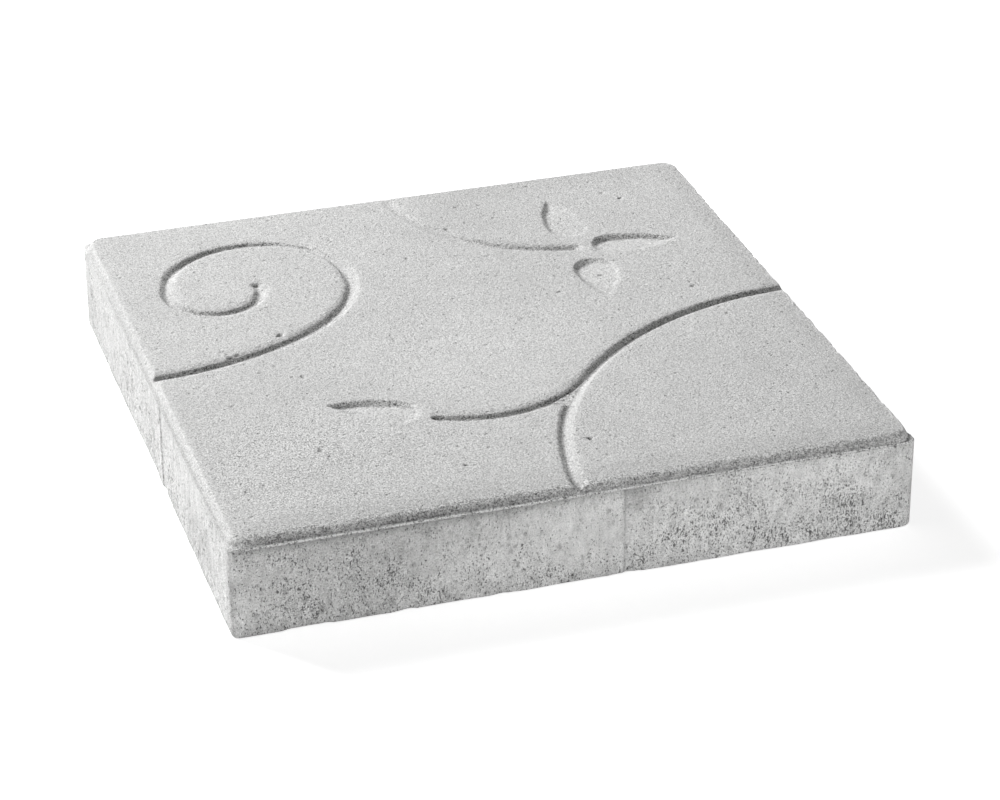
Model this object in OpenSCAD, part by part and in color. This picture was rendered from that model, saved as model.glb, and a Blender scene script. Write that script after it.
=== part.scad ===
// Concrete paving slab with a scroll ornament, one cast piece
// Millimetres, +Z up, origin at the middle of the underside

/* [Slab] */
// Side of the square slab
side = 400; // [390:5:450]
// Overall thickness
thickness = 60; // [50:1:80]
// Radius of the upright corner edges
corner_r = 5; // [3:0.5:8]
// Bevel around the underside
foot_bevel = 1.6; // [0.6:0.2:2.4]

/* [Top edge] */
// Height of the bevelled rim above the ledge
rim_height = 4.4; // [4.2:0.2:6]
// Width of the rim bevel in plan
rim_width = 4; // [2.5:0.5:5]
// Width of the ledge at the foot of the rim
ledge_width = 1.4; // [1:0.2:2]
// Corner radius at the foot of the rim
rim_corner_r = 11; // [8:0.5:14]

/* [Grooves] */
// Width of a groove between its lips
groove_width = 10.8; // [9.8:0.2:12.4]
// Depth of a groove
groove_depth = 2.8; // [2.4:0.1:3.6]
// Width of the groove floor
groove_floor = 1.4; // [1:0.2:2.4]
// Width of the soft shoulder below each lip
shoulder_width = 1.8; // [1.2:0.2:2.4]
// Depth of the soft shoulder
shoulder_depth = 0.5; // [0.4:0.1:0.8]
// How much wider and deeper a groove is where two curves meet and at its round ends
joint_ease = 0.12; // [0.06:0.02:0.2]

/* [Branch] */
// Radius of the branch curve
branch_r = 80; // [74:1:84]
// Angle from the side at which the branch leaves the quarter circle
branch_leave = 39; // [36:0.5:42]
// Angle that the branch curve turns through
branch_turn = 76; // [70:1:80]
// How much shallower the branch is than the other grooves
branch_rise = 0.2; // [0.14:0.02:0.3]
// Distance along the branch to the round throat that clears the thin point between the curves
throat_at = 32; // [30:1:34]
// Radius of the throat at the top
throat_r = 8; // [7.5:0.5:9]

/* [Spiral] */
// Angle that the tail of the spiral turns through
tail_turn = 33.8; // [32:0.2:35]
// Radius of the outer turn
spiral_outer_r = 80; // [77:1:82]
// Radius of the middle turn
spiral_middle_r = 56; // [53:1:58]
// Radius of the inner turn
spiral_inner_r = 28; // [25:1:30]
// Angle that the outer turn covers
outer_turn = 66.2; // [62:0.2:70]
// Angle that the middle turn covers
middle_turn = 180; // [175:1:185]
// Angle that the inner turn covers
inner_turn = 175; // [160:1:182]

/* [Tendril] */
// Radius of the tendril
tendril_r = 110; // [105:1:114]
// Angle that the tendril turns through
tendril_turn = 81.4; // [79:0.2:84]

/* [Leaves] */
// Length of a leaf
leaf_length = 57; // [50:1:60]
// Width of a leaf at its lips
leaf_width = 29; // [26:0.5:30]
// Depth of a leaf
leaf_depth = 2.6; // [2:0.1:3.4]
// Width in plan of the sloping wall of a leaf
leaf_wall = 3.6; // [2.6:0.2:5]
// Gap between a stem tip and the leaf ahead of it
leaf_gap = 10.8; // [9.6:0.2:12.4]
// Angle by which that leaf carries on the curve of its stem
leaf_sweep = 4.4; // [0:0.2:8]
// Distance of the left side leaf from the tendril tip
left_leaf_reach = 16; // [14:0.5:19]
// Bearing of the left side leaf from the tendril tip
left_leaf_bearing = 77; // [72:0.5:84]
// Angle of the left side leaf to the tendril
left_leaf_angle = 99.5; // [94:0.5:104]
// Distance of the right side leaf from the tendril tip
right_leaf_reach = 18.5; // [17:0.5:21]
// Bearing of the right side leaf from the tendril tip
right_leaf_bearing = 66; // [62:0.5:72]
// Angle of the right side leaf to the tendril
right_leaf_angle = 88.5; // [84:0.5:94]

/* [Side slots] */
// Width of the slot in each side
slot_width = 12; // [8:1:16]
// Depth of the slot
slot_depth = 0.8; // [0.4:0.1:1]
// Offset of the slot from the middle of the side
slot_offset = 30.5; // [25:0.5:36]

/* [Hidden] */
$fa = 3;
$fs = 0.8;
half = side / 2;
ledge_z = thickness - rim_height;
over = 1;
runout = 2;
stem_w = groove_width / 2;
stem_f = groove_floor / 2;
stem_s = stem_w - shoulder_width;
shoulder_run = shoulder_width / shoulder_depth;

// Point at a distance and direction from another point
function polar(c, r, a) = [c[0] + r * cos(a), c[1] + r * sin(a)];

// Quarter circle and branch
arc_c = [half, -half];
branch_c = polar(arc_c, half + branch_r, 180 - branch_leave);
branch_from = -branch_leave - branch_turn;
branch_tip = polar(branch_c, branch_r, branch_from);
branch_dir = branch_from - 90;
throat_arc = polar(arc_c, half, 180 - branch_leave + throat_at / half * 180 / PI);
throat_twig = polar(branch_c, branch_r, -branch_leave - throat_at / branch_r * 180 / PI);
throat_c = (throat_arc + throat_twig) / 2;

// Spiral
tail_c = [-half, half];
turn_1 = -90 + tail_turn;
outer_c = polar(tail_c, half - spiral_outer_r, turn_1);
turn_2 = turn_1 + outer_turn;
middle_c = polar(outer_c, spiral_outer_r - spiral_middle_r, turn_2);
turn_3 = turn_2 + middle_turn;
inner_c = polar(middle_c, spiral_middle_r - spiral_inner_r, turn_3);
inner_end = turn_3 + inner_turn;
inner_tip = polar(inner_c, spiral_inner_r, inner_end);
joint_1 = polar(tail_c, half, turn_1);
joint_2 = polar(outer_c, spiral_outer_r, turn_2);
joint_3 = polar(middle_c, spiral_middle_r, turn_3);

// Tendril
tendril_c = [tendril_r, half];
tendril_end = 180 + tendril_turn;
tendril_tip = polar(tendril_c, tendril_r, tendril_end);
tendril_dir = tendril_end + 90;

// Leaf outline, a round base and two long arcs that meet in a point
leaf_h = leaf_width / 2;
leaf_run = leaf_length - leaf_h;
leaf_side_r = (leaf_run * leaf_run + leaf_h * leaf_h) / (2 * leaf_h);
leaf_slope = leaf_wall / leaf_depth;

// Block with rounded upright corners and one profile of [inset, height] all around
module profiled_block(s, r, profile) {
    n = len(profile);
    inner = s / 2 - r;
    edge = [for (p = profile) [r - p[0], p[1]]];
    foot = profile[0][1];
    head = profile[n - 1][1];
    outline = concat([[0, foot]], edge, [[0, head]]);
    right = [for (p = profile) [s / 2 - p[0], p[1]]];
    left = [for (i = [n - 1:-1:0]) [profile[i][0] - s / 2, profile[i][1]]];
    rotate([90, 0, 0])
        linear_extrude(height = 2 * inner, center = true)
            polygon(concat(right, left));
    for (k = [0:1])
        rotate([0, 0, 180 * k])
            translate([0, -inner, 0])
                rotate([90, 0, -90])
                    linear_extrude(height = 2 * inner, center = true)
                        polygon(outline);
    for (k = [0:3])
        rotate([0, 0, 90 * k])
            translate([inner, inner, 0])
                rotate_extrude(angle = 90)
                    polygon(outline);
}

module slab_body() {
    profiled_block(side, corner_r, [
        [foot_bevel, 0],
        [0, foot_bevel],
        [0, ledge_z]
    ]);
    profiled_block(side - 2 * ledge_width, rim_corner_r, [
        [0, ledge_z],
        [rim_width * 0.2, ledge_z + rim_height * 0.5],
        [rim_width * 0.5, ledge_z + rim_height * 0.92],
        [rim_width, thickness]
    ]);
}

// Half of the groove section, from the middle line outwards; rise lifts it, ease widens and deepens it
function half_section(rise, ease) =
    let (w = stem_w - rise * shoulder_run + ease, d = groove_depth - rise + ease)
    [
        [0, -d],
        [stem_f + ease, -d],
        [stem_s + ease, rise - ease - shoulder_depth],
        [w, 0],
        [w, over],
        [0, over]
    ];

function full_section(h) = concat(h, [for (i = [4:-1:1]) [-h[i][0], h[i][1]]]);

module groove_arc(c, r, from, turn, h) {
    translate([c[0], c[1], thickness])
        rotate([0, 0, from])
            rotate_extrude(angle = turn)
                translate([r, 0])
                    polygon(full_section(h));
}

// Round end of a groove, or the joint of two curves
module groove_round(p, rise) {
    translate([p[0], p[1], thickness])
        rotate_extrude()
            polygon(half_section(rise, joint_ease));
}

// Round pocket with the wall of a groove, between the branch and the quarter circle
module throat() {
    reach = throat_r - stem_w;
    section = half_section(branch_rise / 2, 0);
    translate([throat_c[0], throat_c[1], thickness])
        rotate_extrude()
            polygon([for (p = section) p[0] > 0 ? [p[0] + reach, p[1]] : p]);
}

module leaf(base, direction) {
    translate([base[0], base[1], thickness - leaf_depth])
        rotate([0, 0, direction])
            translate([leaf_h, 0, 0]) {
                intersection() {
                    translate([0, leaf_h - leaf_side_r, 0])
                        leaf_cone(leaf_side_r);
                    translate([0, leaf_side_r - leaf_h, 0])
                        leaf_cone(leaf_side_r);
                    translate([0, -leaf_width, -1])
                        cube([2 * leaf_length, 2 * leaf_width, leaf_depth + over + 2]);
                }
                leaf_cone(leaf_h + joint_ease);
            }
}

// Cone that slopes as a leaf wall does, of the given radius at the top of the slab
module leaf_cone(r) {
    cylinder(h = leaf_depth + over, r1 = r - leaf_wall, r2 = r + over * leaf_slope);
}

module grooves() {
    stem = half_section(0, 0);
    twig = half_section(branch_rise, 0);
    groove_arc(arc_c, half, 90 - runout, 90 + 2 * runout, stem);
    groove_arc(branch_c, branch_r, branch_from, branch_turn, twig);
    groove_round(branch_tip, branch_rise);
    throat();
    groove_arc(tail_c, half, -90 - runout, tail_turn + runout, stem);
    groove_arc(outer_c, spiral_outer_r, turn_1, outer_turn, stem);
    groove_arc(middle_c, spiral_middle_r, turn_2, middle_turn, stem);
    groove_arc(inner_c, spiral_inner_r, turn_3, inner_turn, stem);
    for (p = [joint_1, joint_2, joint_3, inner_tip, tendril_tip])
        groove_round(p, 0);
    groove_arc(tendril_c, tendril_r, 180 - runout, tendril_turn + runout, stem);
}

module leaves() {
    leaf(polar(branch_tip, leaf_gap, branch_dir), branch_dir - leaf_sweep);
    leaf(polar(tendril_tip, leaf_gap, tendril_dir), tendril_dir + leaf_sweep);
    leaf(
        polar(tendril_tip, left_leaf_reach, tendril_dir + left_leaf_bearing),
        tendril_dir + left_leaf_angle
    );
    leaf(
        polar(tendril_tip, right_leaf_reach, tendril_dir - right_leaf_bearing),
        tendril_dir - right_leaf_angle
    );
}

module side_slots() {
    for (k = [0:3])
        rotate([0, 0, 90 * k])
            translate([slot_offset - slot_width / 2, -half - over, -over])
                cube([slot_width, slot_depth + over, ledge_z + over]);
}

module paving_slab() {
    color([0.74, 0.74, 0.73])
        difference() {
            slab_body();
            grooves();
            leaves();
            side_slots();
        }
}

paving_slab();
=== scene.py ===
import math

import bpy
import numpy as np
from mathutils import Euler, Matrix


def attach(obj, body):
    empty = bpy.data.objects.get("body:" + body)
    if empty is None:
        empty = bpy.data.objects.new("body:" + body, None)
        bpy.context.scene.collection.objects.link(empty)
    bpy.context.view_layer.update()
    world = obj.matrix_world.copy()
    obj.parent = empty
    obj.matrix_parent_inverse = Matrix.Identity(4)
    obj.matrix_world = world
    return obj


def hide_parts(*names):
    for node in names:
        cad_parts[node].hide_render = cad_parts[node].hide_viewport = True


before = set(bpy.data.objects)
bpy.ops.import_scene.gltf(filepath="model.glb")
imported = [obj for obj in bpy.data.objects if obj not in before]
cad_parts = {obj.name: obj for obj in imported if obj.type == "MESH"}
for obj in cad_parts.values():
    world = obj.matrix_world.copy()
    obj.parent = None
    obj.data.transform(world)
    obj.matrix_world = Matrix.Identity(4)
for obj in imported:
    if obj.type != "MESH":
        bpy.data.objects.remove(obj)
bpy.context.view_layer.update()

MM = 0.001

# Sizes of the slab in millimetres, as in the part's source
HALF = 200.0
THICK = 60.0
CORNER_R = 5.0
LEDGE_W = 1.4
LEDGE_Z = THICK - 4.4
RIM_CORNER_R = 11.0
SLOT_W = 12.0
SLOT_D = 0.8
SLOT_X = 30.5

# Ornament in millimetres and degrees, as in the part's source
BRANCH_R = 80.0
BRANCH_LEAVE = 39.0
BRANCH_TURN = 76.0
TAIL_TURN = 33.8
OUTER_R = 80.0
OUTER_TURN = 66.2
MIDDLE_R = 56.0
MIDDLE_TURN = 180.0
INNER_R = 28.0
INNER_TURN = 175.0
TENDRIL_R = 110.0
TENDRIL_TURN = 81.4
RUNOUT = 2.0
LEAF_LEN = 57.0
LEAF_HALF = 14.5
LEAF_DEPTH = 2.6
LEAF_WALL = 3.6
LEAF_GAP = 10.8
LEAF_SWEEP = 4.4

# Look of the concrete: base colour, brightest tone, depth of the grain in metres,
# and the angle in degrees from which an edge shows sharp
CONCRETE = (0.645, 0.645, 0.640, 1)
BRIGHTEST = 1.48
GRAIN_DEPTH = 0.0006
SHARP_FROM = 55

# Seed of the random draws, and counts of triangles, scattered pits in the top and pores in the sides
SEED = 11
TRIANGLES = 190000
PIT_COUNT = 170
PORE_COUNT = 1300


def polar(c, r, deg):
    a = math.radians(deg)
    return (c[0] + r * math.cos(a), c[1] + r * math.sin(a))


ARC_C = (HALF, -HALF)
BRANCH_C = polar(ARC_C, HALF + BRANCH_R, 180 - BRANCH_LEAVE)
BRANCH_FROM = -BRANCH_LEAVE - BRANCH_TURN
BRANCH_TIP = polar(BRANCH_C, BRANCH_R, BRANCH_FROM)
BRANCH_DIR = BRANCH_FROM - 90
TAIL_C = (-HALF, HALF)
TURN_1 = TAIL_TURN - 90
OUTER_C = polar(TAIL_C, HALF - OUTER_R, TURN_1)
TURN_2 = TURN_1 + OUTER_TURN
MIDDLE_C = polar(OUTER_C, OUTER_R - MIDDLE_R, TURN_2)
TURN_3 = TURN_2 + MIDDLE_TURN
INNER_C = polar(MIDDLE_C, MIDDLE_R - INNER_R, TURN_3)
TENDRIL_C = (TENDRIL_R, HALF)
TENDRIL_TIP = polar(TENDRIL_C, TENDRIL_R, 180 + TENDRIL_TURN)
TENDRIL_DIR = 270 + TENDRIL_TURN

# Grooves, each an arc: centre, radius, start angle and turn
ARCS = [
    (ARC_C, HALF, 90 - RUNOUT, 90 + 2 * RUNOUT),
    (BRANCH_C, BRANCH_R, BRANCH_FROM, BRANCH_TURN),
    (TAIL_C, HALF, -90 - RUNOUT, TAIL_TURN + RUNOUT),
    (OUTER_C, OUTER_R, TURN_1, OUTER_TURN),
    (MIDDLE_C, MIDDLE_R, TURN_2, MIDDLE_TURN),
    (INNER_C, INNER_R, TURN_3, INNER_TURN),
    (TENDRIL_C, TENDRIL_R, 180 - RUNOUT, TENDRIL_TURN + RUNOUT),
]


def between(run):
    # Point midway between the branch and the quarter circle, at a distance along both from where they part
    a = polar(ARC_C, HALF, 180 - BRANCH_LEAVE + math.degrees(run / HALF))
    b = polar(BRANCH_C, BRANCH_R, -BRANCH_LEAVE - math.degrees(run / BRANCH_R))
    return ((a[0] + b[0]) / 2, (a[1] + b[1]) / 2)


# Round throat that clears the thin point between the two curves: middles and radii of its flat floor
THROAT = [(between(33.5), 3.0), (between(27), 2.0), (between(21), 1.0)]

# Leaves: base, direction, the deeper side (1 is left of the direction),
# share of the depth at base and tip, and least share
LEAVES = [
    (polar(BRANCH_TIP, LEAF_GAP, BRANCH_DIR), BRANCH_DIR - LEAF_SWEEP, -1, 0.75, 1.15, 0.12),
    (polar(TENDRIL_TIP, LEAF_GAP, TENDRIL_DIR), TENDRIL_DIR + LEAF_SWEEP, 1, 1.1, 0.9, 0.12),
    (polar(TENDRIL_TIP, 16, TENDRIL_DIR + 77), TENDRIL_DIR + 99.5, 1, 0.5, 1.0, 0.12),
    (polar(TENDRIL_TIP, 18.5, TENDRIL_DIR - 66), TENDRIL_DIR - 88.5, -0.5, 1.4, 0.12, 0.3),
]

# Soft spots on the top: amount, middle in plan and half sizes
# Where the ornament is pressed deeper or less deep, as a share of its depth
PRESS_SPOTS = [(0.10, -170, 0, 45, 40), (-0.38, -68, 142, 32, 34), (0.14, -152, 138, 26, 32),
               (-0.05, -105, 160, 26, 16)]
# How far the grooves are bent along X and Y, in millimetres
BEND_X_SPOTS = [(1.2, -53, 112, 40, 28), (-0.9, -70, 45, 35, 25), (0.6, -165, 120, 15, 32)]
BEND_Y_SPOTS = [(1.3, -110, 18, 90, 34), (-0.9, -137, 70, 25, 14), (-1.0, -110, 158, 48, 22)]
# Where the top is paler or darker
TONE_SPOTS = [(0.08, 0, -35, 95, 62), (-0.07, 38, 150, 32, 36), (0.06, 5, 182, 14, 24)]

# Larger pits in the top: middle in plan, half sizes and depth
PITS = [
    (-113.5, 30, 2.6, 2.0, 1.4), (-148, 11, 3.0, 1.8, 0.9), (-144, 13, 2.0, 1.4, 0.7),
    (97, 51, 2.0, 1.6, 0.9), (22, -147.5, 1.6, 1.9, 1.6), (-114, -25, 1.3, 1.8, 1.0),
    (-53.5, -155.5, 1.4, 1.4, 0.9), (-126.5, -114.5, 2.2, 2.0, 0.7), (145, 152, 1.7, 1.7, 0.9),
    (145, 17, 1.7, 1.7, 0.8), (64, 34, 1.6, 1.4, 0.7), (136, 163, 2.0, 1.3, 0.6),
    (39, 171, 1.6, 1.3, 0.6), (54, 170, 1.6, 1.3, 0.6), (-12, 108, 1.5, 1.3, 0.6),
    (24, 141, 1.8, 1.5, 0.7),
]

# Sides are counted from 0 at the front, counter-clockwise: 1 right, 2 back, 3 left
# Soft spots on a side: side, place along it, height, half length, half height and amount
# Stains and pale patches
BLOTCHES = [
    (0, -150, 30, 62, 60, -0.14), (0, -8, 22, 48, 30, 0.05), (0, 120, 18, 85, 26, 0.13),
    (0, 33, 51, 8, 6, -0.22), (0, 190, 34, 7, 13, -0.14), (0, -62, 20, 26, 9, 0.09),
    (0, -8, 27, 20, 12, 0.07), (0, 128, 50, 24, 4, 0.12), (0, 160, 44, 20, 4, 0.08),
    (0, 196, 46, 5, 7, 0.14), (0, 62, 24, 22, 12, 0.06), (3, -182, 25, 8, 30, -0.12),
    (0, 112, 16, 18, 8, -0.08), (0, 165, 16, 24, 9, -0.09), (0, -40, 52, 40, 3, -0.08),
    (0, -118, 44, 55, 9, -0.07), (0, -150, 10, 60, 8, 0.06),
]
# Where pores crowd, and where the face is smooth
CROWDS = [
    (0, -165, 20, 16, 20, 0.8), (0, -137, 36, 10, 11, 1.0), (0, -176, 46, 16, 7, 0.8),
    (0, -107, 24, 9, 13, 0.9),
    (0, -86, 9, 6, 6, 0.8), (0, -18, 6, 11, 6, 1.0), (0, 33, 5, 7, 7, 1.2), (0, 62, 18, 26, 12, 0.6),
    (0, 100, 28, 12, 14, 0.6), (0, 150, 34, 20, 16, 0.8), (0, 160, 12, 24, 10, 0.7), (0, 188, 6, 12, 7, 0.8),
    (0, 120, 9, 20, 6, 0.5), (0, -148, 12, 7, 8, -0.7), (0, -92, 26, 7, 12, -0.7), (0, -44, 30, 38, 20, -0.2),
    (0, 5, 26, 22, 13, -0.8), (0, 128, 48, 14, 6, -0.8), (0, 196, 34, 5, 20, -0.8),
]


def ramp(value, start, end):
    # 0 at the start and 1 at the end, straight between them and level beyond
    return np.clip((value - start) / (end - start), 0, 1)


def bell(value, middle, width):
    return np.exp(-((value - middle) / width) ** 2)


def spots(rows, x, y):
    return sum(amount * bell(x, x0, rx) * bell(y, y0, ry) for amount, x0, y0, rx, ry in rows)


# Seeded lattice noise on points, from -1 to 1
def hash3(ix, iy, iz, seed):
    h = (ix * 374761393 + iy * 668265263 + iz * 2147483647 + seed * 1274126177) & 0xFFFFFFFF
    h = ((h ^ (h >> 13)) * 1274126177) & 0xFFFFFFFF
    h = ((h ^ (h >> 16)) * 2246822519) & 0xFFFFFFFF
    h = h ^ (h >> 15)
    return h / 2147483648.0 - 1.0


def noise(p, size, seed):
    q = p / np.asarray(size, float)
    i = np.floor(q).astype(np.int64)
    f = q - i
    w = f * f * f * (f * (f * 6 - 15) + 10)
    out = 0.0
    for dx in (0, 1):
        for dy in (0, 1):
            for dz in (0, 1):
                weight = ((w[:, 0] if dx else 1 - w[:, 0]) * (w[:, 1] if dy else 1 - w[:, 1])
                          * (w[:, 2] if dz else 1 - w[:, 2]))
                out = out + weight * hash3(i[:, 0] + dx, i[:, 1] + dy, i[:, 2] + dz, seed)
    return out


def layered(p, size, seed, layers):
    # Layers of noise, each half as large and half as strong as the one before
    shift = 17.3
    spread = 1.6
    size = np.asarray(size, float)
    total = 0.0
    for k in range(layers):
        total = total + noise(p + shift * k, size / 2 ** k, seed + k) / 2 ** k
    return total / spread


def smooth_table(points, sigma):
    # Profile through the points, softened by a Gaussian, as a table for np.interp
    fine = 0.05
    x = np.arange(-4 - 6 * sigma, 16 + 6 * sigma, fine)
    y = np.interp(x, [p[0] for p in points], [p[1] for p in points])
    k = np.arange(-4 * sigma, 4 * sigma + fine, fine)
    g = np.exp(-0.5 * (k / sigma) ** 2)
    pad = len(k) // 2
    y = np.convolve(np.pad(y, pad, mode="edge"), g / g.sum(), mode="same")[pad:][:len(x)]
    return x, y


# Half sections of a groove, depth over distance from its middle line, by the way that they lie from it;
# towards the back there are three: inside a curve, a softer one, and outside a curve
GROOVE_BACK = smooth_table([(0.2, 2.7), (0.9, 1.8), (1.9, 0.95), (2.9, 0.6), (6.7, 0)], 0.3)
GROOVE_SOFT = smooth_table([(0.7, 2.9), (1.8, 2.15), (2.7, 1.5), (3.7, 0.9), (4.9, 0.42), (6.6, 0)], 0.25)
GROOVE_CREST = smooth_table([(0.0, 2.7), (0.6, 1.8), (1.4, 0.85), (2.3, 0.35), (5.0, 0)], 0.3)
GROOVE_FRONT = smooth_table([(2.6, 2.7), (5.3, 0.12), (5.6, 0)], 0.15)
GROOVE_LEFT = smooth_table([(1.0, 2.4), (3.5, 0.45), (4.9, 0)], 0.25)
GROOVE_RIGHT = smooth_table([(0.9, 2.35), (5.0, 0.35), (6.2, 0)], 0.3)
LEAF = smooth_table([(0, 0), (LEAF_WALL, LEAF_DEPTH), (14, LEAF_DEPTH + 0.1)], 0.5)

# Rim sections, height over distance in from the foot of the rim
RIM_LEFT = smooth_table([(0, LEDGE_Z), (0.8, LEDGE_Z + 2.2), (2, LEDGE_Z + 4.05), (4, THICK - 0.06),
                         (6, THICK)], 0.25)
RIM_RIGHT = smooth_table([(0, LEDGE_Z - 1.2), (1.6, LEDGE_Z + 3.7), (2.3, THICK - 0.1), (3.8, THICK)], 0.15)
RIM_BACK = smooth_table([(0, LEDGE_Z), (0.6, LEDGE_Z + 2.6), (1.4, LEDGE_Z + 4.15), (3, THICK)], 0.2)
RIM_FRONT = smooth_table([(0, LEDGE_Z), (1, LEDGE_Z + 2.2), (2.6, LEDGE_Z + 3.7), (4.5, LEDGE_Z + 4.2),
                          (8, THICK)], 0.25)


def groove_distance(x, y):
    # Distance from the nearest groove's middle line, direction of that offset in plan,
    # and 1 on the outer side of the curve
    finds = []
    ends = list(THROAT)
    for c, r, start, turn in ARCS:
        dx, dy = x - c[0], y - c[1]
        rho = np.maximum(np.hypot(dx, dy), 1e-6)
        ang = (np.degrees(np.arctan2(dy, dx)) - start) % 360
        sign = np.sign(rho - r) / rho
        finds.append((np.where(ang <= turn, np.abs(rho - r), 99.0), sign * dx, sign * dy, rho > r))
        ends += [(polar(c, r, start), 0.0), (polar(c, r, start + turn), 0.0)]
    for end, flat_r in ends:
        ex, ey = x - end[0], y - end[1]
        d = np.maximum(np.hypot(ex, ey), 1e-6)
        finds.append((np.maximum(d - flat_r, 0), ex / d, ey / d, np.zeros(x.shape)))
    best, to_x, to_y, outer = np.full(x.shape, 99.0), np.zeros(x.shape), np.zeros(x.shape), np.zeros(x.shape)
    for d, ox, oy, out in finds:
        near = d < best
        best, outer = np.where(near, d, best), np.where(near, out, outer)
        to_x, to_y = np.where(near, ox, to_x), np.where(near, oy, to_y)
    return best, to_x, to_y, outer


def leaf_inside(x, y):
    # Distance inside the nearest leaf outline, negative outside, and the share of the depth reached there
    run = LEAF_LEN - LEAF_HALF
    side_r = (run * run + LEAF_HALF * LEAF_HALF) / (2 * LEAF_HALF)
    best = np.full(x.shape, -99.0)
    share = np.ones(x.shape)
    for base, deg, deep, at_base, at_tip, least in LEAVES:
        a = math.radians(deg)
        u = (x - base[0]) * math.cos(a) + (y - base[1]) * math.sin(a)
        v = -(x - base[0]) * math.sin(a) + (y - base[1]) * math.cos(a)
        lens = side_r - np.hypot(u - LEAF_HALF, np.abs(v) + side_r - LEAF_HALF)
        base_round = LEAF_HALF - np.hypot(u - LEAF_HALF, v)
        inside = np.where(u >= LEAF_HALF, lens, base_round)
        # The floor slopes across the leaf, and more so towards its tip
        across = 0.68 + 0.045 * deep * v + 0.02 * np.maximum(u - 35, 0) * np.tanh(deep * v)
        across = np.clip(across, least, 1.1)
        near = inside > best
        best = np.where(near, inside, best)
        share = np.where(near, across * (at_base + (at_tip - at_base) * np.clip(u / LEAF_LEN, 0, 1)), share)
    return best, share


def inside_rounded_square(x, y, half, r):
    qx, qy = np.abs(x) - (half - r), np.abs(y) - (half - r)
    outside = np.hypot(np.maximum(qx, 0), np.maximum(qy, 0)) + np.minimum(np.maximum(qx, qy), 0)
    return r - outside


def press_pits(field, ucoord, vcoord, pits):
    # Lowers a field on a grid (rows follow vcoord, columns ucoord) by round pits, and returns where they are
    reach = 1.3
    mask = np.zeros_like(field)
    for u, v, ru, rv, depth in pits:
        cols = np.arange(np.searchsorted(ucoord, u - reach * ru), np.searchsorted(ucoord, u + reach * ru))
        rows = np.arange(np.searchsorted(vcoord, v - reach * rv), np.searchsorted(vcoord, v + reach * rv))
        if not len(cols) or not len(rows):
            continue
        du = (ucoord[cols] - u)[None, :] / ru
        dv = (vcoord[rows] - v)[:, None] / rv
        ang = np.arctan2(dv, du)
        edge = 1 + 0.22 * np.sin(2 * ang + u) + 0.15 * np.sin(3 * ang + 2 * v)
        t = np.clip(1 - (np.hypot(du, dv) / edge) ** 2, 0, 1)
        block = np.ix_(rows, cols)
        field[block] -= depth * np.sqrt(t) * np.minimum(1, 2 * t)
        mask[block] = np.maximum(mask[block], np.minimum(1, 1.6 * t))
    return mask


rng = np.random.default_rng(SEED)

# Plan grid of the top, 0.4 mm near the edges and 0.8 mm elsewhere, with its corners drawn in to their radius
FINE_FROM = HALF - 8
lines = np.concatenate([
    np.linspace(-HALF, -FINE_FROM, 21)[:-1],
    np.linspace(-FINE_FROM, FINE_FROM, 481)[:-1],
    np.linspace(FINE_FROM, HALF, 21),
])
gx, gy = np.meshgrid(lines, lines)
cx = np.maximum(np.abs(gx) - (HALF - CORNER_R), 0)
cy = np.maximum(np.abs(gy) - (HALF - CORNER_R), 0)
both = (cx > 0) & (cy > 0)
shrink = np.where(both, np.maximum(cx, cy) / np.maximum(np.hypot(cx, cy), 1e-9), 1)
px = np.where(both, np.sign(gx) * (HALF - CORNER_R + cx * shrink), gx)
py = np.where(both, np.sign(gy) * (HALF - CORNER_R + cy * shrink), gy)
flat = np.stack([px.ravel(), py.ravel(), np.full(px.size, THICK)], 1)


def on_top(size, seed, layers):
    return layered(flat, size, seed, layers).reshape(px.shape)


# Noise on the top, from broad unevenness to ragged lips, and clouds and blots of tone
uneven = on_top(45, 3, 3)
rough = on_top(4.5, 9, 2)
lip_rag = on_top(7, 21, 3)
edge_rag = on_top(16, 31, 4)
cloud = on_top(110, 91, 2)
blot = on_top(7, 95, 3)

# Which side a point of the top is nearest to, where the corners are, and the worn one at the front right
lean_x = ramp(np.abs(px) - np.abs(py), -6, 6)
front = (1 - lean_x) * (py < 0)
back = (1 - lean_x) * (py >= 0)
left = lean_x * (px < 0)
right = lean_x * (px >= 0)
corner = ramp(np.minimum(np.abs(px), np.abs(py)), 185, 191)
worn_corner = right * corner * (py < 0)

# Distances in from the outer edge and from the chipped foot of the rim; the right side crumbles most
out_edge = inside_rounded_square(px, py, HALF, CORNER_R)
foot_in = inside_rounded_square(px, py, HALF - LEDGE_W, RIM_CORNER_R)
ledge = foot_in < 0.1
crumble = right * ramp(py, -190, -170)
chips = (1 - crumble) * (0.4 * np.clip(edge_rag, 0, 1) + 0.3 * np.clip(lip_rag, 0, 1))
chips = chips + 0.9 * crumble * np.clip(0.2 + 1.2 * lip_rag + 0.8 * rough, 0, 1)
rim_in = foot_in - chips * ramp(foot_in, 0.5, 2.0) * (foot_in < 12)


def rim_height():
    height = left * np.interp(rim_in / (1 + 0.5 * left), *RIM_LEFT)
    height = height + (front + worn_corner) * np.interp(rim_in, *RIM_FRONT)
    height = height + (right - worn_corner) * np.interp(rim_in, *RIM_RIGHT)
    height = height + back * np.interp(rim_in, *RIM_BACK)
    return height + 0.12 * lip_rag * bell(rim_in, 1.8, 1.5)


def ledge_height():
    # The front ledge carries a small burr, the right one is worn down
    fall = ramp(out_edge, 0.9, 0)
    plain = 0.12 * lip_rag * (1 - fall) - 0.6 * fall ** 2
    burr = np.interp(out_edge, [0, 0.4, 0.8, 1.2], [-1.0, -0.75, 0.05, 0]) + 0.06 * lip_rag
    lowered = right * (1 - corner) * (1.1 + 0.4 * fall)
    return LEDGE_Z - 0.1 + (1 - front) * plain + front * burr - lowered


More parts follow.
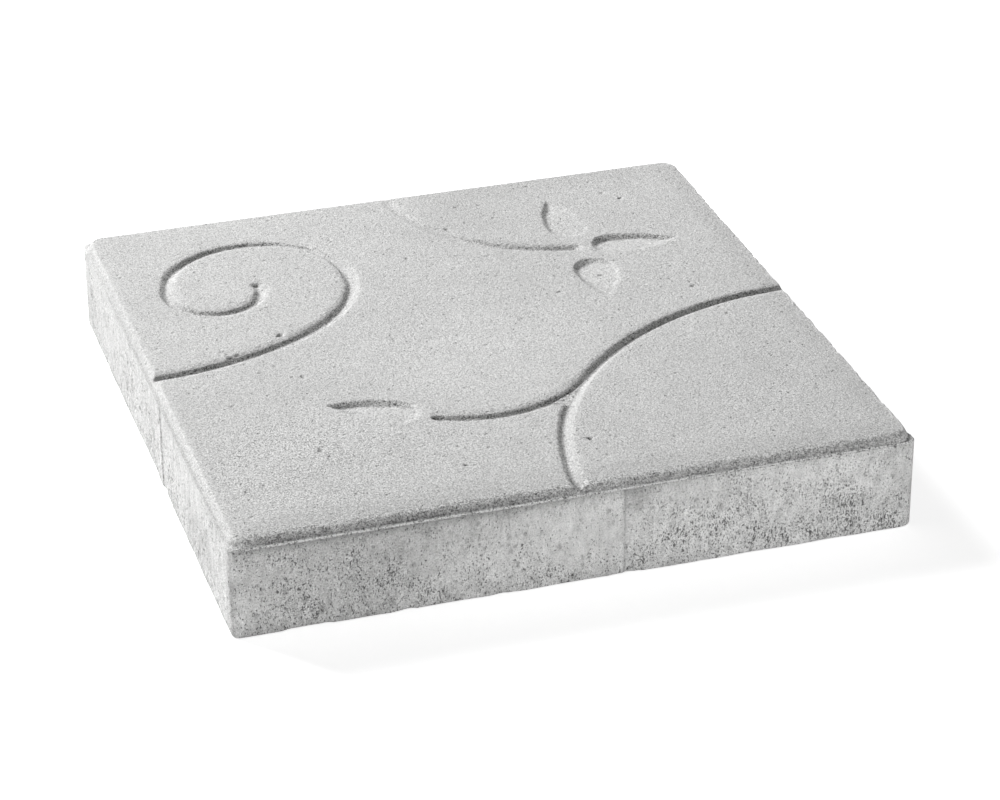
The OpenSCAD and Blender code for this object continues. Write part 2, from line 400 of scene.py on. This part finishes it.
def press_share():
    # The ornament is pressed less deep in places, least where the tendril meets the back edge
    share = 1 + spots(PRESS_SPOTS, px, py)
    share = share - 0.10 * ramp(py, 40, 140) + 0.10 * ramp(px, 40, 80) * (py < 30)
    return share - ramp(px, -30, -10) * (0.06 * ramp(py, 60, 85) + 0.57 * ramp(py, 108, 148))


def groove_depth(distance, to_x, to_y, outer):
    # Blends the half sections by the way that a point lies from the groove's middle line
    lean = 0.3 * to_x + 0.95 * to_y
    is_back = ramp(lean, 0.12, 0.52)
    is_front = ramp(lean, -0.1, -0.4)
    is_left = (1 - is_back - is_front) * ramp(0.95 * to_x - 0.3 * to_y, 0.25, -0.25)
    is_right = 1 - is_back - is_front - is_left
    soft = ramp(px, -10, 10) * (py > 60) + bell(px, -75, 30) * bell(py, 48, 28)
    soft = np.where(outer > 0, 0, soft)
    wide = soft * np.interp(distance, *GROOVE_SOFT)
    to_back = (1 - soft) * np.interp(distance, *GROOVE_BACK) + wide
    to_back = np.where(outer > 0, np.interp(distance, *GROOVE_CREST), to_back)
    to_left = (1 - soft) * np.interp(distance, *GROOVE_LEFT) + wide
    return (is_back * to_back + is_front * np.interp(distance, *GROOVE_FRONT)
            + is_left * to_left + is_right * np.interp(distance, *GROOVE_RIGHT))


def scattered_pits():
    found = []
    for _ in range(PIT_COUNT):
        u, v = rng.uniform(-FINE_FROM, FINE_FROM, 2)
        r = rng.uniform(0.75, 1.1)
        found.append((u, v, r * rng.uniform(0.9, 1.3), r, rng.uniform(0.2, 0.5)))
    return found


# Top surface: slight unevenness, worn rim, grooves and leaves with ragged lips and rough walls
pressed_rough = 0.09 * rough
z = np.minimum(THICK - 0.10 - 0.08 * uneven - 0.03 * rough, rim_height())
z = np.where(ledge, ledge_height(), z)
bent_x = px - spots(BEND_X_SPOTS, px, py)
bent_y = py - spots(BEND_Y_SPOTS, px, py)
groove_d, to_x, to_y, outer = groove_distance(bent_x, bent_y)
groove_d = groove_d + 0.25 * lip_rag + 0.12 * rough
z = np.minimum(z, THICK - press_share() * groove_depth(groove_d, to_x, to_y, outer) + pressed_rough)
leaf_s, leaf_share = leaf_inside(px, py)
leaf_s = leaf_s + 0.35 * lip_rag + 0.12 * rough
z = np.minimum(z, THICK - leaf_share * np.interp(leaf_s, *LEAF) + pressed_rough)

# Walls of the ornament and which of them lie in shade, found before the pits are pressed in
slope_x = np.gradient(z, axis=1) / np.gradient(px, axis=1).clip(0.05)
slope_y = np.gradient(z, axis=0) / np.gradient(py, axis=0).clip(0.05)
wall = ramp(np.hypot(slope_x, slope_y), 0.25, 0.75) * (rim_in > 7)
shaded = ramp(0.83 * slope_y - 0.56 * slope_x, -0.25, 0.25)
drop = THICK - z
pit_mask = press_pits(z, lines, lines, PITS + scattered_pits())


# Tone of the top, as a change from 1: the face, the rim and the ledge
def face_tone():
    # Clouded, with a paler middle and darker strips along the front, right and back, and painted shade on the
    # walls of the ornament that face the key light
    tone = 0.03 * cloud + 0.035 * uneven - 0.005 + spots(TONE_SPOTS, px, py)
    tone = tone - 0.04 * ramp(px, 60, 190) * ramp(py, -60, -190)
    front_strip = (0.06 + 0.05 * ramp(px, 0, -60)) * bell(rim_in, 0, 18) * (1 + 0.6 * blot)
    front_strip = front_strip + 0.045 * bell(rim_in, 13, 9)
    right_strip = (0.06 + 0.04 * (py > 0)) * bell(rim_in, 7, 8)
    back_strip = 0.07 * ramp(px, 0, 50) * bell(py, HALF, 24)
    # Walls that face the key light are darkened: painted shade
    return tone - front * front_strip - right * right_strip - back_strip - 0.16 * wall * (1 - shaded)


def rim_tone():
    # Dirt and painted shade on the rim, most at the front left; painted light on the worn front right corner
    # and on the right rim away from the grooves, which lie in shade
    on_rim = ramp(drop + 0.3 * blot, 0.2, 0.7) * (rim_in < 9) * (1 - corner * (1 - right))
    depth = ramp(drop, 0.8, 3.8)
    # The front bevel darkens as it drops: painted shade along with dirt
    front_shade_and_dirt = 0.54 * depth * (0.66 + 0.34 * ramp(px, 0, -50)) * (1 + 0.45 * blot)
    front_shade_and_dirt = front_shade_and_dirt - 0.06 * (px > 0) * (1 - depth)
    left_dirt = 0.02 + 0.12 * depth + 0.08 * ramp(py, 0, 40)
    # The worn front right corner is lifted out of its shade: painted light
    rim_shade_and_dirt = front_shade_and_dirt * front + left_dirt * left + 0.08 * back - 0.25 * worn_corner
    # The right rim is lifted out of its shade: painted light
    painted_light = 0.5 * right * ramp(groove_d, 3, 6) * np.maximum(on_rim, ramp(rim_in, 3.0, 2.2))
    return painted_light - on_rim * rim_shade_and_dirt


def ledge_tone():
    # Painted light along the front and right ledges, which lie in the rim's shadow, and at the right corners;
    # darker along the left
    most_painted_light = 0.5
    # A pale line along the front ledge: painted highlight on its burr
    painted_light = np.interp(out_edge, [0, 0.2, 0.4, 0.8, 1.0, 1.2], [-0.15, 0.1, 0.6, 0.6, 0.25, 0])
    painted_light = np.minimum(painted_light * (1 + 0.4 * blot), most_painted_light)
    painted_light = painted_light * (1 - corner) + most_painted_light * corner * (px > 0)
    left_dark = 0.20 - 0.10 * ramp(py, 60, 160)
    right_painted_light = np.where(py > -180, 0.3, most_painted_light)
    return painted_light * front - left_dark * left * (1 - corner) + right_painted_light * right


# Tone of the top with its stains and its painted light and shade
patina_top = np.where(ledge, ledge_tone(), face_tone() + rim_tone())

# How coarse the sand shows: rougher at the front left and on the front rim, and on groove walls that face
# away from the key light coarser with more dark specks, which is painted shade, but smoother on walls that
# face it
grit_and_wall_shade_top = 1.1 + 0.55 * bell(px, -130, 70) * bell(py, -130, 60) + wall * (1.7 * shaded - 0.5)
grit_and_wall_shade_top = grit_and_wall_shade_top + 0.7 * front * ramp(rim_in, 9, 3) - 0.3 * left * (rim_in < 6)


def border(grid):
    # Outline of a square grid of point numbers, counter-clockwise from the front left corner
    return np.concatenate([grid[0, :-1], grid[:-1, -1], grid[-1, :0:-1], grid[:0:-1, 0]])


# Outline of the slab as one loop of columns, with the run along it and the way out
top_ids = np.arange(px.size).reshape(px.shape)
loop = border(top_ids)
lx, ly = px.ravel()[loop], py.ravel()[loop]
step = np.hypot(np.diff(lx, append=lx[0]), np.diff(ly, append=ly[0]))
along = np.concatenate([[0], np.cumsum(step)[:-1]])
nx = np.sign(lx) * np.maximum(np.abs(lx) - (HALF - CORNER_R), 0)
ny = np.sign(ly) * np.maximum(np.abs(ly) - (HALF - CORNER_R), 0)
nl = np.maximum(np.hypot(nx, ny), 1e-9)
nx, ny = nx / nl, ny / nl

# Rows of the sides, from just under the ledge to the underside; they start lower on the worn right side
levels = np.concatenate([
    [LEDGE_Z - 1.15, LEDGE_Z - 1.55],
    np.linspace(LEDGE_Z - 2.1, 4.0, 62),
    [3.4, 2.8, 2.3, 1.8, 1.4, 1.0, 0.7, 0.45, 0.2, 0.0],
])
sx, sz = np.meshgrid(lx, levels)
sy = np.broadcast_to(ly, sx.shape)
worn_side = ramp(np.abs(sy), 191, 185) * (sx > HALF - 2)
sz = sz - 1.6 * worn_side * ramp(sz, 44, 54)
side_points = np.stack([sx.ravel(), sy.ravel(), sz.ravel()], 1)
foot_points = side_points * (1, 1, 0)


def on_side(points, size, seed, layers):
    return layered(points, size, seed, layers).reshape(sx.shape)


# Noise on the sides, and how far stains and crowds of pores waver
swell = on_side(side_points, 30, 51, 3)
drag = on_side(side_points, (2.6, 2.6, 14), 61, 2)
crumb = on_side(side_points, 3.2, 71, 2)
warp_t = 9 * on_side(side_points, 14, 101, 3)
warp_z = 5 * on_side(side_points, 10, 111, 3)
low = 1 - sz / LEDGE_Z


def foot_inset():
    # Worn and chipped round of the bottom edge
    foot = 1.6 + 1.3 * on_side(foot_points, 26, 81, 3)
    chipped = np.clip(on_side(foot_points, 15, 85, 2) - 0.28, 0, 1)
    foot = np.clip(foot + 6 * chipped, 0.6, 4.6)
    under = np.maximum(foot - sz, 0)
    return foot - np.sqrt(np.maximum(foot * foot - under * under, 0))


def from_side(k):
    # Place along a side, to the right of its middle as seen from outside,
    # and distance out from the slab's middle
    a = math.radians(90 * k)
    return sx * math.cos(a) + sy * math.sin(a), sx * math.sin(a) - sy * math.cos(a)


def slot_in_side(k):
    # Depth of the slot, and its tone: painted shade in lines at its edges with a painted highlight beside
    t, out = from_side(k)
    s = (t - SLOT_X) + 0.5 * crumb + 0.4 * swell
    start, end = -SLOT_W / 2, SLOT_W / 2
    cut = ramp(s, start, start + 0.9) * ramp(s, end, end - 2.5)
    # Where the step of the slot would throw shade: painted shade, fainter on the left side
    edge_shade = bell(s, start + 0.5, 0.8) + 0.3 * bell(s, end - 1.2, 1.2)
    shade_strength = 0.04 if k == 3 else 0.30
    tone = 0.08 * bell(s, start - 1.8, 1.5) - shade_strength * edge_shade
    there = out > HALF - 1
    return np.where(there, SLOT_D * cut, 0), np.where(there, tone, 0)


def side_pores():
    # More of them low down and in loose groups
    found = []
    total = along[-1] + step[-1]
    while len(found) < PORE_COUNT:
        u, v = rng.uniform(4, total - 4), rng.uniform(2, 53)
        if rng.uniform() > 0.22 + 0.7 * (1 - v / 55) ** 1.2:
            continue
        group = math.sin(u / 19.0 + 1.7 * math.sin(u / 47.0)) + math.sin(v / 9.0 + u / 60.0)
        if rng.uniform() > 0.45 + 0.3 * group:
            continue
        r = rng.uniform(0.6, 0.85) + 0.7 * rng.uniform() ** 5
        found.append((u, v, r, r * rng.uniform(0.8, 1.9), rng.uniform(0.35, 0.7) + 0.5 * (r - 0.6)))
    return found


def random_spots(count, ranges):
    # Further spots for the right, back and left sides, each value drawn between the ends of its range
    return [(k, *[rng.uniform(lo, hi) for lo, hi in ranges]) for k in (1, 2, 3) for _ in range(count)]


def side_spot(k, t0, z0, rt, rz):
    t, out = from_side(k)
    return np.where(out > HALF - 10, bell(t + warp_t, t0, rt) * bell(sz + warp_z, z0, rz), 0)


def side_tone(blotches):
    # Painted shade on the back face and towards the back of the left face, painted bounce light low on the
    # right of the front, darker under its ledge, painted shade at the foot, then stains and pale patches
    on_left = sx < 2 - HALF
    on_back = sy > HALF - 2
    on_front = sy < 2 - HALF
    below_ledge = sy < 1 - HALF
    tone = 0.06 * on_side(side_points, 40, 121, 4)
    # The back face, and the left face towards the back, darkened: painted shade against the key light
    tone = tone + (0.01 - 0.04 * sy / HALF) * on_left - 0.10 * on_back
    # Low on the right of the front: painted bounce light from the floor
    tone = tone + 0.12 * ramp(sx, 60, 120) * np.clip(1.2 * low, 0, 1) * on_front
    # Darker just under the ledge
    dark_under_ledge = 0.09 * ramp(sz + warp_z, 46, 52) * ramp(sx, 60, 0)
    dark_under_ledge = dark_under_ledge + 0.34 * bell(sz, LEDGE_Z, 3.4) * np.maximum(ramp(sx, 130, -30), 0.2)
    tone = tone - dark_under_ledge * below_ledge
    # Darker towards the bottom: painted shade at the foot
    tone = tone - 0.22 * ramp(sz - 0.7 * warp_z, 4.5, -0.5)
    for k, t0, z0, rt, rz, change in blotches:
        tone = tone + change * np.minimum(1.6 * side_spot(k, t0, z0, rt, rz), 1)
    return tone


def side_grit(crowds):
    # How coarse the sand and pores show; the left side is smoother
    grit = 0.70 + 0.1 * swell
    for k, t0, z0, rt, rz, amount in crowds:
        change = amount - 0.3 * (k == 3)
        grit = grit + 0.38 * change * side_spot(k, t0, z0, rt, rz)
    return np.clip(grit, 0.35, 1.2)


# Relief of the sides, as how far they are set in: rough face, worn foot, worn top of the right side and slots
inset = 0.12 + 0.12 * swell + 0.05 * drag + (0.05 + 0.12 * low) * np.clip(crumb, 0, 1)
inset = inset + foot_inset() + worn_side * ramp(sz, LEDGE_Z - 5, LEDGE_Z - 3)
# Painted shade and highlight along the slots
slot_shade_and_light = np.zeros_like(sz)
for k in range(4):
    slot_cut, one_slot_shade_and_light = slot_in_side(k)
    inset = inset + slot_cut
    slot_shade_and_light = slot_shade_and_light + one_slot_shade_and_light

# Pores, tone and grit of the sides
pores = side_pores()
BLOTCH_RANGES = [(-185, 185), (8, 50), (10, 34), (4, 12), (-0.11, 0.10)]
CROWD_RANGES = [(-190, 190), (4, 46), (8, 26), (6, 16), (-0.7, 0.9)]
patina_side = slot_shade_and_light + side_tone(BLOTCHES + random_spots(12, BLOTCH_RANGES))
grit_side = side_grit(CROWDS + random_spots(14, CROWD_RANGES))
relief = -inset[::-1]
pore_mask = press_pits(relief, along, levels[::-1], pores)[::-1]
inset = -relief[::-1]

# Points of one closed mesh: top grid, side rows and a coarse underside;
# one cell of the underside meets 20 columns of the sides, and its border lies 6 mm in from them
FAN = 20
BASE_IN = 6
TURNED_OVER = [0, 3, 2, 1]
worn_x = px - right * (1 - corner) * ramp(out_edge, LEDGE_W, 0)
top_v = np.stack([worn_x.ravel(), py.ravel(), z.ravel()], 1)
side_v = np.stack([(sx - nx * inset).ravel(), (sy - ny * inset).ravel(), sz.ravel()], 1)
base_cells = (len(lines) - 1) // FAN
base_lines = np.linspace(-HALF, HALF, base_cells + 1)
base_lines[0], base_lines[-1] = BASE_IN - HALF, HALF - BASE_IN
ux, uy = np.meshgrid(base_lines, base_lines)
base_v = np.stack([ux.ravel(), uy.ravel(), np.zeros(ux.size)], 1)
side_at = len(top_v)
base_at = side_at + len(side_v)
base_ids = base_at + np.arange(ux.size).reshape(ux.shape)


def grid_quads(grid):
    return np.stack([grid[:-1, :-1], grid[:-1, 1:], grid[1:, 1:], grid[1:, :-1]], -1).reshape(-1, 4)


def slab_faces():
    # Quads of the top, sides and underside, and fans that join the fine sides to the coarse underside
    columns = len(loop)
    after = np.roll(np.arange(columns), -1)
    rings = [loop] + [side_at + r * columns + np.arange(columns) for r in range(len(levels))]
    quads = [grid_quads(top_ids)]
    for upper, lower in zip(rings[:-1], rings[1:]):
        quads.append(np.stack([upper, lower, lower[after], upper[after]], -1))
    quads.append(grid_quads(base_ids)[:, TURNED_OVER])
    base_loop = border(base_ids).tolist()
    fans = []
    for j, corner_id in enumerate(base_loop):
        run = [int(rings[-1][(j * FAN + i) % columns]) for i in range(FAN + 1)]
        fans.append(run[::-1] + [corner_id, base_loop[(j + 1) % len(base_loop)]])
    return np.concatenate(quads).tolist() + fans


def thinned(mesh, faces):
    # Copy of a mesh, brought down to the wanted number of triangles
    dense = bpy.data.objects.new("slab_dense", mesh)
    bpy.context.scene.collection.objects.link(dense)
    thin = dense.modifiers.new("thin", "DECIMATE")
    thin.ratio = TRIANGLES / sum(len(face) - 2 for face in faces)
    fewer = bpy.data.meshes.new_from_object(dense.evaluated_get(bpy.context.evaluated_depsgraph_get()))
    bpy.data.objects.remove(dense)
    bpy.data.meshes.remove(mesh)
    return fewer


# The slab's mesh, which carries cavity, stains with painted light and shade, and grit to the material
faces = slab_faces()
mesh = bpy.data.meshes.new("slab_dense")
mesh.from_pydata((np.concatenate([top_v, side_v, base_v]) * MM).tolist(), [], faces)
mesh.update()
LAYERS = {
    "cavity": (pit_mask, pore_mask),
    "patina": (patina_top, patina_side),
    "grit": (grit_and_wall_shade_top, grit_side),
}
for name, (top_values, side_values) in LAYERS.items():
    layer = mesh.attributes.new(name, "FLOAT", "POINT")
    values = np.concatenate([top_values.ravel(), side_values.ravel(), np.zeros(len(base_v))])
    layer.data.foreach_set("value", values.astype(np.float32))
shaped = thinned(mesh, faces)
shaped.name = "paving_slab_cast"
shaped.shade_smooth()
shaped.set_sharp_from_angle(angle=math.radians(SHARP_FROM))
slab = bpy.data.objects.new("paving_slab_cast", shaped)
bpy.context.scene.collection.objects.link(slab)
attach(slab, "root")
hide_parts("paving_slab")


class Nodes:
    # Builds the node tree of a material or world
    def __init__(self, owner):
        owner.use_nodes = True
        self.tree = owner.node_tree
        self.tree.nodes.clear()

    def add(self, kind, **values):
        # Values named in_... go to the inputs of that name, the others are settings of the node
        node = self.tree.nodes.new(kind)
        for key, value in values.items():
            if key.startswith("in_"):
                self.put(node.inputs[key[3:].replace("_", " ")], value)
            else:
                setattr(node, key, value)
        return node

    def put(self, socket, value):
        if isinstance(value, bpy.types.NodeSocket):
            self.tree.links.new(value, socket)
        else:
            socket.default_value = value

    def math(self, op, a, b=0.5):
        node = self.add("ShaderNodeMath", operation=op)
        self.put(node.inputs[0], a)
        self.put(node.inputs[1], b)
        return node.outputs[0]

    def plus(self, a, b):
        return self.math("ADD", a, b)

    def minus(self, a, b):
        return self.math("SUBTRACT", a, b)

    def times(self, a, b):
        return self.math("MULTIPLY", a, b)

    def darker(self, tone, mask, amount):
        # Tone lowered by a share where the mask is 1
        return self.times(tone, self.minus(1.0, self.times(mask, amount)))

    def span(self, value, lo, hi, to_lo=0.0, to_hi=1.0, kind="LINEAR"):
        node = self.add("ShaderNodeMapRange", interpolation_type=kind)
        for socket, v in zip(node.inputs[:5], (value, lo, hi, to_lo, to_hi)):
            self.put(socket, v)
        return node.outputs[0]

    def fade(self, value, lo, hi):
        return self.span(value, lo, hi, kind="SMOOTHSTEP")

    def swing(self, value, reach, amount):
        # Noise, which lies about 0.5, turned into a change of tone to both sides of 0
        return self.span(value, 0.5 - reach, 0.5 + reach, -amount, amount)

    def noise(self, coord, scale, detail, rough, distort=0.0):
        node = self.add("ShaderNodeTexNoise", in_Vector=coord, in_Scale=scale, in_Detail=detail,
                        in_Roughness=rough, in_Distortion=distort)
        return node.outputs["Fac"]

    def drawn_out(self, coord, upright):
        # Coordinates in which a pattern is longer upright than across
        node = self.add("ShaderNodeMapping", in_Vector=coord, in_Scale=(1, 1, upright))
        return node.outputs[0]

    def layer(self, name):
        return self.add("ShaderNodeAttribute", attribute_name=name).outputs["Fac"]


# Concrete: scales of noise are per metre
concrete = bpy.data.materials.new("cast_concrete")
c = Nodes(concrete)
coord = c.add("ShaderNodeTexCoord").outputs["Object"]
height = c.add("ShaderNodeSeparateXYZ", in_Vector=coord).outputs["Z"]
true_normal = c.add("ShaderNodeNewGeometry").outputs["True Normal"]
normal_z = c.add("ShaderNodeSeparateXYZ", in_Vector=true_normal).outputs["Z"]
upright = c.fade(c.math("ABSOLUTE", normal_z), 0.75, 0.35)
side_mask = c.times(upright, c.fade(height, 0.0558, 0.0550))
grit = c.layer("grit")

# Tone from mottling down to sand grains
mottle = c.noise(coord, 55, 4, 0.6)
coarse = c.noise(coord, 430, 2, 0.6)
sand = c.noise(coord, 950, 2, 0.65)
fine = c.noise(coord, 2000, 1, 0.5)
grains = c.plus(c.swing(coarse, 0.25, 0.14), c.swing(sand, 0.25, 0.42))
grains = c.plus(grains, c.swing(fine, 0.25, 0.34))
tone = c.plus(1.0, c.swing(mottle, 0.2, 0.03))
tone = c.plus(tone, c.times(grains, grit))

# Small dark specks, more of them where the grit is coarse
shift = c.add("ShaderNodeTexNoise", in_Vector=coord, in_Scale=700, in_Detail=1).outputs["Color"]
shift = c.add("ShaderNodeVectorMath", operation="SCALE", in_Vector=shift, in_Scale=0.0011).outputs[0]
bent = c.add("ShaderNodeVectorMath", operation="ADD")
c.put(bent.inputs[0], coord)
c.put(bent.inputs[1], shift)
cells = c.add("ShaderNodeTexVoronoi", in_Vector=bent.outputs[0], in_Scale=260, in_Randomness=1.0)
pick = c.add("ShaderNodeSeparateColor", in_Color=cells.outputs["Color"]).outputs[0]
speck_from = c.span(grit, 0.75, 1.75, 0.70, 0.45)
speck_size = c.span(pick, speck_from, 1.0, 0.0, 0.26)
speck = c.fade(c.minus(speck_size, cells.outputs["Distance"]), -0.03, 0.08)

# Pinholes, pores and chips of the sides, crowded low down and where the grit is coarse
crowd = c.span(c.noise(coord, 60, 4, 0.7), 0.34, 0.66, -0.07, 0.04)
crowd = c.plus(crowd, c.span(height, 0.052, 0.004, -0.015, 0.03))
crowd = c.plus(crowd, c.span(grit, 0.4, 1.1, -0.07, 0.045))
tall = c.drawn_out(coord, 0.6)
pinhole = c.plus(c.noise(tall, 1050, 1, 0.5), c.times(crowd, 0.8))
pinhole = c.times(c.fade(pinhole, 0.595, 0.66), side_mask)
pore = c.plus(c.noise(tall, 560, 2, 0.6, 0.4), crowd)
pore = c.times(c.fade(pore, 0.635, 0.695), side_mask)
chip = c.plus(c.noise(tall, 190, 4, 0.7, 0.8), crowd)
chip = c.times(c.fade(chip, 0.66, 0.76), side_mask)

# Smears of the sides, upright streaks and rounder patches
streak = c.noise(c.drawn_out(coord, 0.3), 240, 3, 0.65)
patch = c.noise(c.drawn_out(coord, 0.7), 150, 3, 0.6, 0.5)
smear = c.plus(c.swing(streak, 0.2, 0.13), c.swing(patch, 0.2, 0.11))
tone = c.plus(tone, c.times(smear, side_mask))

# Tone with all of these and with the mesh's own layers, kept below full white; pores, pinholes, chips and the
# pressed pits are darkened as painted shade inside them
tone = c.darker(tone, speck, 0.28)
tone = c.darker(tone, c.math("MAXIMUM", pore, pinhole), 0.70)
tone = c.darker(tone, chip, 0.30)
# Pits and pores of the mesh darkened: painted shade
tone = c.darker(tone, c.layer("cavity"), 0.30)
tone = c.math("MINIMUM", c.times(tone, c.plus(1.0, c.layer("patina"))), BRIGHTEST)
tint = c.add("ShaderNodeMix", data_type="RGBA", blend_type="MULTIPLY", in_Factor=1.0)
c.put(tint.inputs[6], CONCRETE)
c.put(tint.inputs[7], tone)

# Sand grain, specks, pores and chips as bump
grain = c.plus(c.times(sand, 0.7), c.times(fine, 0.3))
grain = c.plus(grain, c.times(coarse, 0.6))
grain = c.minus(grain, c.times(speck, 0.7))
grain = c.minus(grain, c.times(pore, 1.2))
grain = c.minus(grain, c.times(chip, 1.2))
bump = c.add("ShaderNodeBump", in_Strength=1.0, in_Distance=GRAIN_DEPTH, in_Height=grain)
shader = c.add("ShaderNodeBsdfPrincipled", in_Base_Color=tint.outputs[2], in_Roughness=0.92,
               in_Specular_IOR_Level=0.25, in_Normal=bump.outputs[0])
c.add("ShaderNodeOutputMaterial", in_Surface=shader.outputs[0])
shaped.materials.clear()
shaped.materials.append(concrete)

# Floor, in metres, white to the camera where it is lit
FLOOR_HALF = 6
FLOOR_Z = -0.0002
floor_corners = [(FLOOR_HALF * x, FLOOR_HALF * y, FLOOR_Z) for x, y in ((-1, -1), (1, -1), (1, 1), (-1, 1))]
floor_mesh = bpy.data.meshes.new("floor")
floor_mesh.from_pydata(floor_corners, [], [(0, 1, 2, 3)])
floor = bpy.data.objects.new("floor", floor_mesh)
bpy.context.scene.collection.objects.link(floor)
floor_white = bpy.data.materials.new("floor_white")
f = Nodes(floor_white)
rays = f.add("ShaderNodeLightPath").outputs
seen = f.math("MAXIMUM", rays["Is Camera Ray"], rays["Is Glossy Ray"])
seen = f.math("MAXIMUM", seen, rays["Is Transmission Ray"])
matte = f.add("ShaderNodeBsdfDiffuse", in_Color=(0.85, 0.85, 0.85, 1))
lift = f.add("ShaderNodeEmission", in_Color=(1, 1, 1, 1), in_Strength=f.times(seen, 0.78))
lifted = f.add("ShaderNodeAddShader")
f.put(lifted.inputs[0], matte.outputs[0])
f.put(lifted.inputs[1], lift.outputs[0])
f.add("ShaderNodeOutputMaterial", in_Surface=lifted.outputs[0])
floor_mesh.materials.append(floor_white)

# World: faint even light, white to the camera
world = bpy.data.worlds.new("studio")
bpy.context.scene.world = world
w = Nodes(world)
strength = w.span(w.add("ShaderNodeLightPath").outputs["Is Camera Ray"], 0.0, 1.0, 0.08, 1.0)
sky = w.add("ShaderNodeBackground", in_Color=(1, 1, 1, 1), in_Strength=strength)
w.add("ShaderNodeOutputWorld", in_Surface=sky.outputs[0])


def lamp(name, azimuth, elevation, distance, width, tall, power):
    # Soft box that faces the slab; azimuth is counted from +Y towards -X
    data = bpy.data.lights.new(name, "AREA")
    data.shape = "RECTANGLE"
    data.size = width
    data.size_y = tall
    data.energy = power
    obj = bpy.data.objects.new(name, data)
    bpy.context.scene.collection.objects.link(obj)
    a, e = math.radians(azimuth), math.radians(elevation)
    z_axis = np.array((-math.sin(a) * math.cos(e), math.cos(a) * math.cos(e), math.sin(e)))
    x_axis = np.cross((0, 0, 1), z_axis)
    x_axis /= np.linalg.norm(x_axis)
    y_axis = np.cross(z_axis, x_axis)
    turn = Matrix((x_axis, y_axis, z_axis)).transposed().to_4x4()
    obj.matrix_world = Matrix.Translation(tuple(z_axis * distance)) @ turn


lamp("key", azimuth=34, elevation=33, distance=4.0, width=1.7, tall=1.7, power=265)
lamp("fill", azimuth=180, elevation=5, distance=2.4, width=2.2, tall=0.36, power=29)

# Camera at the photo's view, for a 1000 x 800 image: place in metres and turns about X, Y and Z in degrees
CAMERA_PLACE = (-0.517239, -1.698101, 0.968218)
CAMERA_TURNS = (61.701, 0.193, -17.511)
cam_data = bpy.data.cameras.new("camera")
cam_data.sensor_width = 36.0
cam_data.lens = 119.567
cam_data.clip_end = 50
cam = bpy.data.objects.new("camera", cam_data)
bpy.context.scene.collection.objects.link(cam)
camera_turn = Euler([math.radians(turn) for turn in CAMERA_TURNS]).to_matrix().to_4x4()
cam.matrix_world = Matrix.Translation(CAMERA_PLACE) @ camera_turn
bpy.context.scene.camera = cam
bpy.context.scene.view_settings.view_transform = "Standard"
